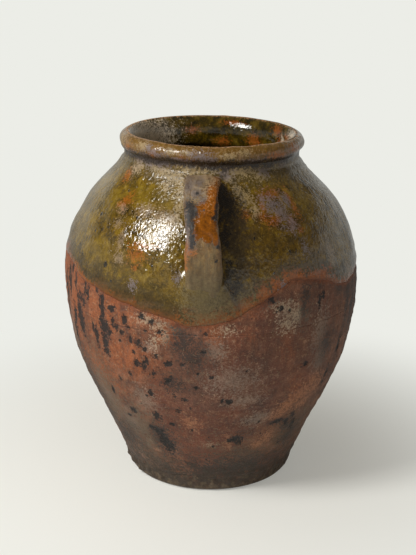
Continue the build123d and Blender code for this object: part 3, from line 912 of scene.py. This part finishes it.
def lining_material(finishes):
    """The same lead glaze inside the jar, thicker and darker, scoured pale on the arris of the rim."""
    coat = Coat("lead_glaze_lining", finishes)
    coat.noises(mottle=(10, 8, 0.7, 0, 1), swell=(4.5, 2, 0.5, 0, 1))
    coat.frays(rough=(8, 2.2, 1), gritty=(2.8, 1.2, 1))
    coat.ramp("mottle", (0.32, "150F04"), (0.46, "312707"), (0.56, "4C3B08"), (0.70, "6C5A26"))
    coat.paint(
        ("orange", "87471A", "gritty", 4.5, 0.8, 0.7, 0),
        # Pale crust, partly painted reflected light on the inner left
        ("crust", "BDAE9A", "gritty", 3.4, 0.8, 0.9, -0.1),
        ("crest", "A98058", "gritty", 3.0, 0.35, 0.8, 0.15),
    )
    dull = coat.total(crust_mask=0.3, crest_mask=0.35, rough=0.06)
    # The mouth funnels in a little more than its outline does, which catches the light below the crest
    relief = coat.total(gritty=0.03, swell=0.5, funnel=0.43)
    roughness = add_node(coat.tree, "ShaderNodeMath", {0: dull, 1: 0.06}, operation="ADD", use_clamp=True)
    return coat.finish(1.2, roughness, relief, 1.52)


def strap_material(finishes):
    """Glazed strap, handled for decades: the glaze is left amber in the middle, chipped to a burnt black
    body along one edge, and weathered grey-brown towards the foot."""
    coat = Coat("worn_glazed_strap", finishes)
    coat.noises(mottle=(9, 9, 0.74, 0, 0.55), streak=(3.5, 5, 0.6, 0, 0.15), blotch=(5, 6, 0.7, 0, 1))
    coat.frays(rough=(7, 2.0, 1), gritty=(2.8, 1.2, 1))
    coat.slopes(foot=("height", 272, 232, -1, 1), end=("height", STRAP_FOOT_Z, 222, -1, 1))
    coat.ramp("mottle", (0.32, "3A2B17"), (0.44, "66492A"), (0.54, "7E5E32"), (0.64, "927648"),
              (0.76, "A89462"))
    coat.paint(
        ("streak", "62564A", "gritty", 0.6, 0.08, 0.6, 0.58),
        ("foot", "685638", "rough", 3.0, 0.9, 0.85, 0),
        ("end", "665836", "rough", 3.0, 0.7, 0.8, 0),
        ("grey", "75684A", "gritty", 5.0, 0.7, 0.4, 0),
        ("streak", "453923", "gritty", 0.6, 0.1, 0.5, 0.56),
        ("blotch", "4A3820", "gritty", 0.35, 0.05, 0.55, 0.58),
        ("amber", "7C4602", "rough", 1.5, 0.12, 0.98, 0),
        ("amber_mask", "552F04", "rough", 3.0, 0.4, 0.6, 1.1),
        ("orange", "9A5A1C", "gritty", 4.0, 0.5, 0.75, 0),
        ("crust", "9A886A", "gritty", 6.5, 0.4, 0.8, 0),
        ("lilac", "5E5454", "gritty", 3.6, 0.4, 0.75, 0),
        ("black", "1A1716", "gritty", 3.2, 0.25, 0.95, 0),
    )
    coat.pepper(("small", 4, 2.1, 0.4, 1.0, 0.75, "2A2118"))
    dull = coat.total(amber_mask=-0.24, crust_mask=0.25, black_mask=0.20, rough=0.12, grey_mask=0.05)
    relief = coat.total(gritty=0.30, rough=0.35, black_mask=-0.35, small=-0.2, crust_mask=0.3, blotch=0.4)
    # The amber glaze has filled the grain under it
    coarse = add_node(coat.tree, "ShaderNodeMath", {0: coat.field("amber_mask"), 1: -0.9, 2: 1.0},
                      operation="MULTIPLY_ADD")
    relief = add_node(coat.tree, "ShaderNodeMath", {0: relief, 1: coarse}, operation="MULTIPLY")
    roughness = add_node(coat.tree, "ShaderNodeMath", {0: dull, 1: 0.38}, operation="ADD", use_clamp=True)
    return coat.finish(1.3, roughness, relief, 1.58)


# Pieces

def clay_grid(outline, place, azimuth):
    """Points of bare clay at places along its outline, sunk into chips under the black spots, and the
    fields of its marks, of its height and of how far it lies below the glaze's edge."""
    place, azimuth = np.broadcast_arrays(place, azimuth)
    radius, height, _, _ = outline.at(place)
    fields = round_marks(CLAY_MARKS, radius, height, azimuth)
    fields |= {"height": height, "below": edge_height(azimuth) - height}
    # The chips are shallow where the glaze runs down over them; above the glaze's edge the clay steps back
    chips = 0.45 * step(-0.3, 0.4, fields["spots"]) * step(0, 4, fields["below"])
    proud = clay_relief(radius, height, azimuth) - chips - 1.7 * step(BARE_TOP_Z - 6, BARE_TOP_Z, height)
    return shape_on(outline, place, azimuth, proud), fields


def build_wall(context, node):
    """One thrown half of the pot: its outside, then a hidden inner face along the hollow's outline."""
    sizes = millimetres(context.scene.jar_sizes)
    line, inner = outside(sizes), hollow(sizes, 0.0)
    azimuth = azimuth_row()
    base_end = sizes.base_radius - BASE_CORNER
    seam = line.place_of_height(SEAM_Z, base_end)
    # Place along the hollow at the seam's height, on the wall and not on the floor
    inner_seam = inner.place[np.argmin(np.abs(inner.line[:, 1] - SEAM_Z) + 999 * (inner.line[:, 0] < 60))]
    is_base = node == "lower_body"
    if is_base:
        corner_end, floor_start = base_end + 14, inner.length - 90
        place = spaced((2.0, base_end, 4), (base_end, corner_end, 14), (corner_end, seam, 118))
        hidden = spaced((inner_seam, floor_start, 8), (floor_start, inner.length - 2, 5))
    else:
        bare_end, collar = line.place_of_height(BARE_TOP_Z, base_end), line.length - 45
        place = spaced((seam, bare_end, 46), (bare_end, collar, 16), (collar, line.length, 46))
        hidden = spaced((0.5, inner_seam, 26))
    outer, fields = clay_grid(line, place, azimuth)
    points = np.concatenate([outer, shape_on(inner, hidden + 0 * azimuth, azimuth, -0.8)])
    mesh = grid_mesh("lower_wall" if is_base else "upper_wall", points, fields, poles=is_base)
    clay = bpy.data.materials.get("fired_red_earthenware") or clay_material(context.scene.finishes)
    add_piece(mesh, clay, node)


class JAR_OT_lower_wall(bpy.types.Operator):
    """Bare lower half of the pot with its base"""

    bl_idname = "jar.lower_wall"
    bl_label = "Lower wall"

    def execute(self, context):
        build_wall(context, "lower_body")
        return {"FINISHED"}


class JAR_OT_upper_wall(bpy.types.Operator):
    """Upper half of the pot: bare clay under the glaze's edge, hidden above it"""

    bl_idname = "jar.upper_wall"
    bl_label = "Upper wall"

    def execute(self, context):
        build_wall(context, "upper_body")
        return {"FINISHED"}


class JAR_OT_shoulder_glaze(bpy.types.Operator):
    """Lead glaze on the shoulder, neck and rim, with its wavy, slightly raised lower edge"""

    bl_idname = "jar.shoulder_glaze"
    bl_label = "Shoulder glaze"

    def execute(self, context):
        sizes = millimetres(context.scene.jar_sizes)
        line, azimuth = outside(sizes), azimuth_row()
        start = line.place_of_height(edge_height(azimuth), sizes.base_radius - BASE_CORNER)
        place = start + (line.length - start) * spaced((0, 0.035, 9), (0.035, 0.72, 82), (0.72, 1, 46))
        above = place - start
        radius, height, _, _ = line.at(place)
        points = surface_points(radius, height, azimuth)
        fields = round_marks(GLAZE_MARKS, radius, height, azimuth)
        # The coat rises steeply from its edge into a low bead, and crusts stand on it as scabs
        coat = sizes.glaze * (1 - np.exp(-above / 1.3)) + 0.10 * bump_of(above, 4.0, 3.0)
        coat = coat + 0.08 * ripple(points, 22, 21) * step(1, 6, above)
        scab = 0.35 * step(-0.2, 0.5, fields["crust"]) * step(-0.6, 0.8, ripple(points, 6, 22))
        proud = clay_relief(radius, height, azimuth, 1 - 0.7 * step(0, 12, above)) + coat + scab
        outer = shape_on(line, place, azimuth, proud + root_swell(radius, height, azimuth))
        under = start + (line.length - start) * spaced((1, 0.84, 7), (0.84, 0.70, 5), (0.70, 0, 4))
        under_r, under_z, _, _ = line.at(under)
        sunk = clay_relief(under_r, under_z, azimuth) - 1.0 - 1.8 * step(0, 12, under - start)
        # The groove field paints shade, with some dirt, under the rim's roll
        fields |= {"above": above, "height": height, "crest": 1 - (line.length - place) / 1.6,
                   "groove": 1 - np.abs(height - RIM_SHADE_Z) / 4.2, "neck": 1 - np.abs(height - NECK_Z) / 9.0}
        points = np.concatenate([outer, shape_on(line, under, azimuth, sunk)])
        mesh = grid_mesh("shoulder_glaze", points, fields)
        add_piece(mesh, glaze_material(context.scene.finishes), "outer_glaze")
        return {"FINISHED"}


class JAR_OT_inside_glaze(bpy.types.Operator):
    """Glaze lining of the whole inside"""

    bl_idname = "jar.inside_glaze"
    bl_label = "Inside glaze"

    def execute(self, context):
        sizes = millimetres(context.scene.jar_sizes)
        inner = hollow(sizes, sizes.glaze)
        lip_end, floor_start, end = 30, inner.length - 120, inner.length - 2
        place = spaced((0, lip_end, 26), (lip_end, floor_start, 90), (floor_start, end, 20))
        place, azimuth = np.broadcast_arrays(place, azimuth_row(LINING_COLUMNS))
        radius, height, _, _ = inner.at(place)
        points = surface_points(radius, height, azimuth)
        rings = 0.3 * np.sin(2 * np.pi * height / 10.0 + ripple(points, 140, 31))
        relief = rings * step(CREST_Z - 4, CREST_Z - 30, height)
        relief = relief + 0.3 * ripple(points, 40, 32) * step(CREST_Z, CREST_Z - 20, height)
        top = shape_on(inner, place, azimuth, -0.6 * relief)
        under = shape_on(inner, spaced((end, 0.0, 20)) + 0 * azimuth[:1], azimuth[:1], -1.2)
        fields = round_marks(INSIDE_MARKS, radius, height, azimuth)
        fields |= {"crest": 1 - place / 1.6, "funnel": 16 * np.tanh(place / 16)}
        mesh = grid_mesh("inside_glaze", np.concatenate([top, under]), fields)
        add_piece(mesh, lining_material(context.scene.finishes), "inner_glaze")
        return {"FINISHED"}


# Knots of a strap's centre line: (share of the way from the neck to the reach, share of the way up)
STRAP_KNOTS = ((0.30, 1.00), (0.60, 0.93), (0.86, 0.745), (0.985, 0.50), (0.98, 0.22))
# Along a strap: (share of its length, share of its width, share of its thickness)
STRAP_SHARES = (
    (0.00, 1.12, 1.10), (0.12, 1.06, 1.00), (0.25, 1.00, 0.94), (0.37, 0.98, 0.92), (0.50, 0.99, 0.94),
    (0.61, 1.02, 1.00), (0.71, 1.04, 1.08), (0.82, 1.06, 1.08), (0.92, 1.10, 1.0), (1.00, 1.0, 1.0),
)
# How far it leans to its right: (share of its length, millimetres)
STRAP_LEAN = ((0.0, -1.5), (0.27, 0.0), (0.49, 3.5), (0.71, 5.0), (0.84, 5.5), (1.0, 6.0))


def strap_depth(height, strap):
    """Half thickness of the strap near its foot, which thins to a feather edge."""
    return strap.thickness / 2 * np.interp(height, (202, 210, 222, 240), (0.2, 0.4, 0.85, 1.08))


def strap_line(sizes, strap):
    """Centre line of the front strap in the plane X = 0, as (outward, up): a cubic through seven points from
    inside the neck to where the foot begins, then down the wall at the height of the strap's face."""
    neck, low, high = sizes.neck_radius, strap.foot_height, strap.top_height
    knots = [(neck + out * (strap.reach - neck), low + up * (high - low)) for out, up in STRAP_KNOTS]
    knots = np.array([(neck - 9, high), *knots, (sizes.belly_radius - 9, low - 9)])
    span = np.append(0, np.cumsum(np.hypot(*np.diff(knots, axis=0).T)))
    slope = np.gradient(knots, span, axis=0)
    slope[0], slope[-1] = (1, 0), (-0.7, -0.7)
    fine = np.linspace(0, span[-1], 900)
    k = np.clip(np.searchsorted(span, fine, side="right") - 1, 0, len(knots) - 2)
    width = (span[k + 1] - span[k])[:, None]
    t = (fine - span[k])[:, None] / width
    curve = ((2 * t ** 3 - 3 * t ** 2 + 1) * knots[k] + (t ** 3 - 2 * t ** 2 + t) * width * slope[k]
             + (3 * t ** 2 - 2 * t ** 3) * knots[k + 1] + (t ** 3 - t ** 2) * width * slope[k + 1])
    out, up = curve.T
    top = curve[(out > neck - 3.5) & ((up > STRAP_FOOT_Z) | (out < 140) & (up > 280))]
    wall = outside(sizes)
    height = np.linspace(STRAP_FOOT_Z - 2, STRAP_END_Z, 60)
    out = wall.at(wall.place_of_height(height, sizes.base_radius))[0]
    foot = np.column_stack([out + face_height(height) - strap_depth(height, strap), height])
    return Outline(np.vstack([top, foot]), 2.0)


def strap_mesh(name, sizes, strap, side, seed, marks, rows=240, columns=132):
    """Pulled strap: a rounded flat section, drawn along the centre line and wider at both roots.

    At share t of its length and angle u the section is (w(t) c(u), h(t) s(u)), where c and s are cosine and
    sine raised to a power below one, so that its faces are flat and its edges round.
    """
    centre = strap_line(sizes, strap)
    place = np.linspace(0, 1, rows)[:, None]
    out_line, up_line, normal_out, normal_up = centre.at(place * centre.length)
    share, wide, thick = np.array(STRAP_SHARES).T
    lean = np.interp(place, *np.array(STRAP_LEAN).T)
    half_wide = np.interp(place, share, wide) * strap.width / 2
    half_thick = np.interp(place, share, thick) * strap.thickness / 2
    half_thick = np.where(up_line < STRAP_FOOT_Z, strap_depth(up_line, strap), half_thick)
    angle = 2 * np.pi * np.arange(columns)[None, :] / columns
    cosine, sine = np.cos(angle), np.sin(angle)
    x = half_wide * np.sign(cosine) * np.abs(cosine) ** 0.62
    lift = half_thick * np.sign(sine) * np.abs(sine) ** 0.72
    draw = np.stack([x, lift, 150 * place + 0 * x], axis=-1)
    dish = 0.5 * bump_of(x, 0, 0.55 * half_wide) * step(0.15, 0.4, place) * step(0.95, 0.8, place)
    lift = lift - np.sign(sine) * dish
    lift = lift + (0.28 * ripple(draw, 22, seed) + 0.14 * ripple(draw, 8, seed + 1)) * step(200, 215, up_line)
    x = x + 0.5 * ripple(draw, 30, seed + 2) + 0.2 * ripple(draw, 9, seed + 3) + lean
    out = out_line - lift * normal_out - (x - lean) ** 2 / (2 * sizes.belly_radius) * step(246, 228, up_line)
    up = up_line - lift * normal_up
    fields = mark_fields(marks, up, lambda centre: x - centre) | {"height": up}
    points = warp(np.stack([side * x, -side * out, up], axis=-1))
    # The columns are turned round so that the faces look outwards
    turned = {label: field[:, ::-1] for label, field in fields.items()}
    return grid_mesh(name, points[:, ::-1], turned, poles=True)


class JAR_OT_straps(bpy.types.Operator):
    """Front and rear strap handles"""

    bl_idname = "jar.straps"
    bl_label = "Straps"

    def execute(self, context):
        sizes, strap = millimetres(context.scene.jar_sizes), millimetres(context.scene.strap_sizes)
        material = strap_material(context.scene.finishes)
        for name, node, side, seed, marks in (("front_strap", "front_handle", 1, 41, FRONT_STRAP_MARKS),
                                              ("rear_strap", "rear_handle", -1, 51, REAR_STRAP_MARKS)):
            add_piece(strap_mesh(name, sizes, strap, side, seed, marks), material, node)
        return {"FINISHED"}


# Stage: floor, light and camera

CAMERA_TURN = 4.5                        # degrees round the jar
CAMERA_PLACE = (-2.9, -1132.7, 555.9)    # millimetres, before the turn
CAMERA_PITCH = 17.677
CAMERA_ROLL = 0.342
FOCAL_PIXELS = 1188.0
PICTURE = (416, 555)                     # pixels of the photo
SENSOR = 36.0
FLOOR_REACH = 9.0                        # metres
# Softboxes: (name, azimuth from the camera, elevation, side in metres, watts)
SOFTBOXES = (("main_softbox", -52.5, 39.5, 0.35, 12.6), ("upper_softbox", -51, 55, 0.18, 1.8))
SOFTBOX_DISTANCE = 1.25
SOFTBOX_AIM_Z = 0.2


class JAR_OT_stage(bpy.types.Operator):
    """Pale floor, soft studio light and the camera"""

    bl_idname = "jar.stage"
    bl_label = "Stage"

    def execute(self, context):
        look = context.scene.stage_look
        self.floor(look)
        self.world(look)
        for softbox in SOFTBOXES:
            self.softbox(*softbox)
        self.camera(context.scene)
        return {"FINISHED"}

    def floor(self, look):
        """Pale floor that takes the jar's shadow and runs out into the backdrop's colour."""
        mesh = bpy.data.meshes.new("floor")
        corners = [(x * FLOOR_REACH, y * FLOOR_REACH, 0) for x, y in ((-1, -1), (1, -1), (1, 1), (-1, 1))]
        mesh.from_pydata(corners, [], [(0, 1, 2, 3)])
        material = bpy.data.materials.new("pale_floor")
        tree = emptied(material)
        near = add_node(tree, "ShaderNodeBsdfPrincipled", {"Base Color": look.floor, "Roughness": 0.9})
        rays = add_node(tree, "ShaderNodeLightPath")
        camera_ray, glossy_ray = rays.outputs["Is Camera Ray"], rays.outputs["Is Glossy Ray"]
        # Full strength for the camera, less in reflections, as a floor that is only lit from one side
        shine = add_node(tree, "ShaderNodeMapRange", {"Value": camera_ray} | ends(0.0, 1.0, 0.45, 1.0))
        far = add_node(tree, "ShaderNodeEmission", {"Color": look.backdrop, "Strength": shine})
        place = add_node(tree, "ShaderNodeTexCoord").outputs["Object"]
        away = add_node(tree, "ShaderNodeVectorMath", {0: place}, operation="LENGTH").outputs["Value"]
        fade = add_node(tree, "ShaderNodeMapRange", {"Value": away} | ends(0.10, 0.46, 0.30, 1.0),
                        interpolation_type="SMOOTHSTEP")
        seen = add_node(tree, "ShaderNodeMath", {0: camera_ray, 1: glossy_ray}, operation="MAXIMUM")
        share = add_node(tree, "ShaderNodeMath", {0: fade, 1: seen}, operation="MULTIPLY")
        mix = add_node(tree, "ShaderNodeMixShader", {0: share, 1: near, 2: far})
        add_node(tree, "ShaderNodeOutputMaterial", {"Surface": mix})
        mesh.materials.append(material)
        floor = bpy.data.objects.new("floor", mesh)
        bpy.context.scene.collection.objects.link(floor)

    def world(self, look):
        """A studio, brighter round the walls than overhead, with the plain backdrop for the camera."""
        world = bpy.data.worlds.new("studio")
        tree = emptied(world)
        aim = add_node(tree, "ShaderNodeTexCoord").outputs["Generated"]
        up = add_node(tree, "ShaderNodeSeparateXYZ", {0: aim}).outputs["Z"]
        rays = add_node(tree, "ShaderNodeLightPath")
        glow = add_node(tree, "ShaderNodeMapRange", {"Value": up} | ends(0.0, 0.85, 0.55, 0.14))
        light = add_node(tree, "ShaderNodeBackground", {"Color": linear("FFF4E0"), "Strength": glow})
        # In the glaze the white walls end fairly sharply some way up
        wall = add_node(tree, "ShaderNodeMapRange", {"Value": up} | ends(0.10, 0.46, 0.78, 0.12),
                        interpolation_type="SMOOTHSTEP")
        mirrored = add_node(tree, "ShaderNodeBackground", {"Color": look.backdrop, "Strength": wall})
        unseen = add_node(tree, "ShaderNodeMixShader",
                          {0: rays.outputs["Is Glossy Ray"], 1: light, 2: mirrored})
        seen = add_node(tree, "ShaderNodeBackground", {"Color": look.backdrop, "Strength": 1.0})
        mix = add_node(tree, "ShaderNodeMixShader", {0: rays.outputs["Is Camera Ray"], 1: unseen, 2: seen})
        add_node(tree, "ShaderNodeOutputWorld", {"Surface": mix})
        bpy.context.scene.world = world

    def softbox(self, name, azimuth, elevation, side, power):
        """A square softbox that looks at the jar from an azimuth and an elevation."""
        turn, lift = np.radians(azimuth + CAMERA_TURN), np.radians(elevation)
        heading = np.array([np.sin(turn) * np.cos(lift), -np.cos(turn) * np.cos(lift), np.sin(lift)])
        lamp = bpy.data.lights.new(name, "AREA")
        lamp.shape = "SQUARE"
        lamp.size = side
        lamp.energy = power
        lamp.color = (1.0, 0.98, 0.93)
        softbox = bpy.data.objects.new(name, lamp)
        softbox.location = heading * SOFTBOX_DISTANCE + np.array([0, 0, SOFTBOX_AIM_Z])
        softbox.rotation_euler = (np.pi / 2 - lift, 0, turn)
        bpy.context.scene.collection.objects.link(softbox)

    def camera(self, scene):
        """The photo's camera."""
        turn = np.radians(CAMERA_TURN)
        x, y, z = (value * MM for value in CAMERA_PLACE)
        lens = bpy.data.cameras.new("camera")
        lens.sensor_width = SENSOR
        lens.lens = FOCAL_PIXELS / max(PICTURE) * SENSOR
        lens.clip_start = 0.01
        camera = bpy.data.objects.new("camera", lens)
        camera.location = (x * np.cos(turn) - y * np.sin(turn), x * np.sin(turn) + y * np.cos(turn), z)
        tilt = Matrix.Rotation(turn, 3, "Z") @ Matrix.Rotation(np.radians(90 - CAMERA_PITCH), 3, "X")
        camera.rotation_euler = (tilt @ Matrix.Rotation(np.radians(CAMERA_ROLL), 3, "Z")).to_euler("XYZ")
        scene.collection.objects.link(camera)
        scene.camera = camera
        scene.view_settings.view_transform = "Standard"


GROUPS = {"jar_sizes": JarSizes, "strap_sizes": StrapSizes, "finishes": Finishes, "stage_look": StageLook}
PIECES = (JAR_OT_stage, JAR_OT_lower_wall, JAR_OT_upper_wall, JAR_OT_shoulder_glaze, JAR_OT_inside_glaze,
          JAR_OT_straps)


class JAR_PT_panel(bpy.types.Panel):
    """Lists the jar's pieces, sizes and colours in the sidebar"""

    bl_idname = "JAR_PT_panel"
    bl_label = "Olive jar"
    bl_space_type = "VIEW_3D"
    bl_region_type = "UI"
    bl_category = "Olive jar"

    def draw(self, context):
        for operator in PIECES:
            self.layout.operator(operator.bl_idname)
        for key in GROUPS:
            group, box = getattr(context.scene, key), self.layout.box()
            for name in group.__annotations__:
                box.prop(group, name)


CLASSES = (*GROUPS.values(), *PIECES, JAR_PT_panel)


def register():
    """Registers the groups, operators and panel."""
    for each in CLASSES:
        bpy.utils.register_class(each)
    for key, group in GROUPS.items():
        setattr(bpy.types.Scene, key, PointerProperty(type=group))


def unregister():
    """Takes everything out again."""
    for key in GROUPS:
        delattr(bpy.types.Scene, key)
    for each in reversed(CLASSES):
        bpy.utils.unregister_class(each)


def main():
    """Builds the jar and its stage."""
    register()
    bpy.ops.jar.stage()
    bpy.ops.jar.lower_wall()
    bpy.ops.jar.upper_wall()
    bpy.ops.jar.shoulder_glaze()
    bpy.ops.jar.inside_glaze()
    bpy.ops.jar.straps()


if __name__ == "__main__":
    main()
